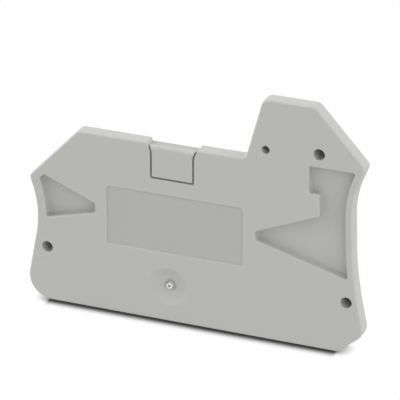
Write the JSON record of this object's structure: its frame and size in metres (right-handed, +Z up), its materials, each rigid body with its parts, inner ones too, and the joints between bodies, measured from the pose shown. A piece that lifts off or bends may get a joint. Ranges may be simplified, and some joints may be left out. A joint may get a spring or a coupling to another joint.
{
  "type": "terminal block end cover",
  "caption": "Flat moulded end cover for a row of rail-mounted terminal blocks, with a break-out tab, front pockets, a bare label recess and hollow press-in studs on its back.",
  "frame": {"origin": "middle of the overall length and depth, on the level of the straight lower edge", "axes": "+X along the plate's length to the raised end, +Y out of the back where the studs are, +Z up to the raised end's top; the show face looks towards -Y"},
  "size_m": [0.0535, 0.0038, 0.0387],
  "materials": {
    "grey_plastic": "fine matte moulded texture"
  },
  "bodies": {
    "root": {"end_cover": "grey_plastic"}
  },
  "joints": []
}
